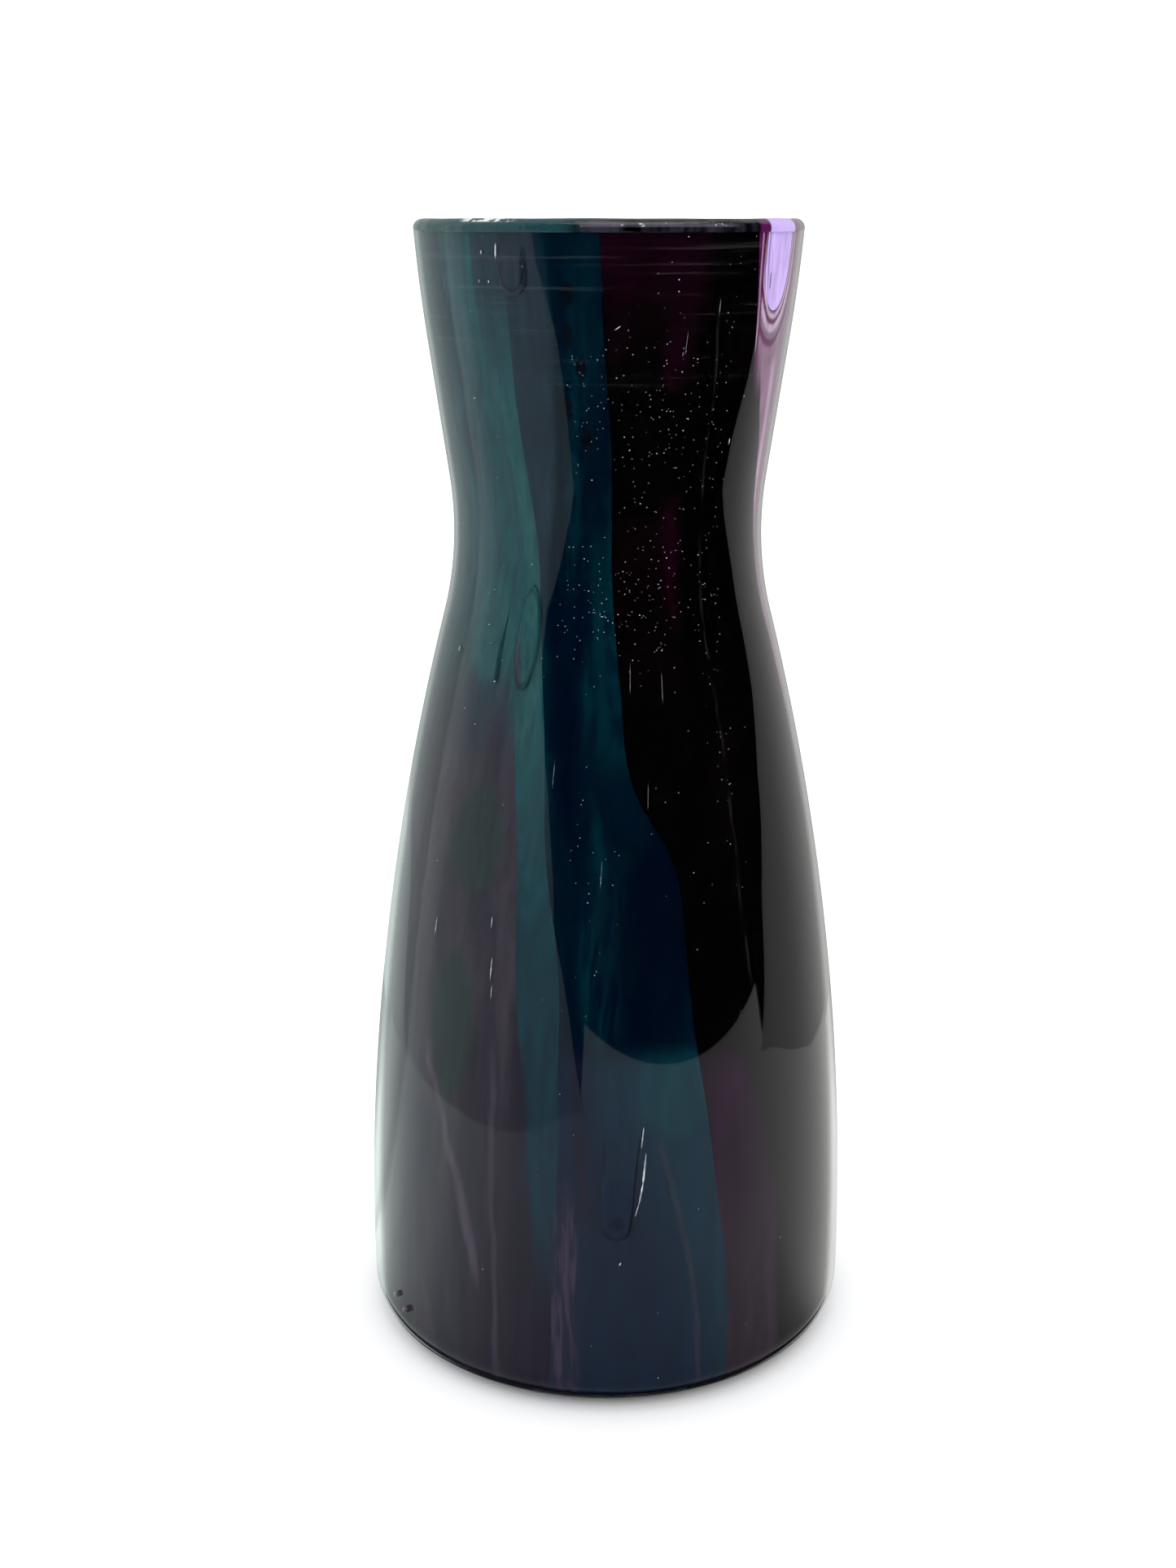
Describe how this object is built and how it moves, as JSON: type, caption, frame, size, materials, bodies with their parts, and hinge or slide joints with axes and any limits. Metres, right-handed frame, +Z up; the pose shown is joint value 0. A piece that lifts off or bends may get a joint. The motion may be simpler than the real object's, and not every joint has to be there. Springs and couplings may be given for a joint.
{
  "type": "art glass vase",
  "caption": "Carafe-shaped art glass vase with a narrow waist and flared neck, dark poured colours laid side by side under a clear casing, and a round bead at the rim.",
  "frame": {"origin": "middle of the foot, on the surface that the vase stands on", "axes": "+Z up along the vase's axis, -Y towards the viewer, +X to the viewer's right"},
  "size_m": [0.112, 0.112, 0.25],
  "materials": {
    "body_glass": "opaque near-black glass, glossy",
    "clear_glass": "clear, fire polished",
    "rim_glass": "fire polished, colours run together",
    "slate_glass": "opaque poured colour under clear glass",
    "green_glass": "opaque poured colour under clear glass",
    "navy_glass": "opaque poured colour under clear glass",
    "plum_glass": "opaque poured colour under clear glass",
    "ink_glass": "opaque poured colour under clear glass",
    "magenta_glass": "opaque poured colour under clear glass",
    "lavender_glass": "opaque poured colour under clear glass",
    "rose_glass": "opaque poured colour under clear glass",
    "violet_glass": "opaque poured colour under clear glass"
  },
  "bodies": {
    "root": {"glass_body": "body_glass", "clear_casing": "clear_glass", "rim_bead": "rim_glass", "slate_field": "slate_glass", "green_streak": "green_glass", "navy_field": "navy_glass", "plum_field": "plum_glass", "ink_field": "ink_glass", "magenta_band": "magenta_glass", "lavender_pour": "lavender_glass", "rose_field": "rose_glass", "violet_back": "violet_glass", "ink_back": "ink_glass", "neck_drip": "slate_glass", "loop_drip": "green_glass", "front_drip": "navy_glass", "thread_run": "green_glass", "heel_crusts": "slate_glass"}
  },
  "joints": []
}
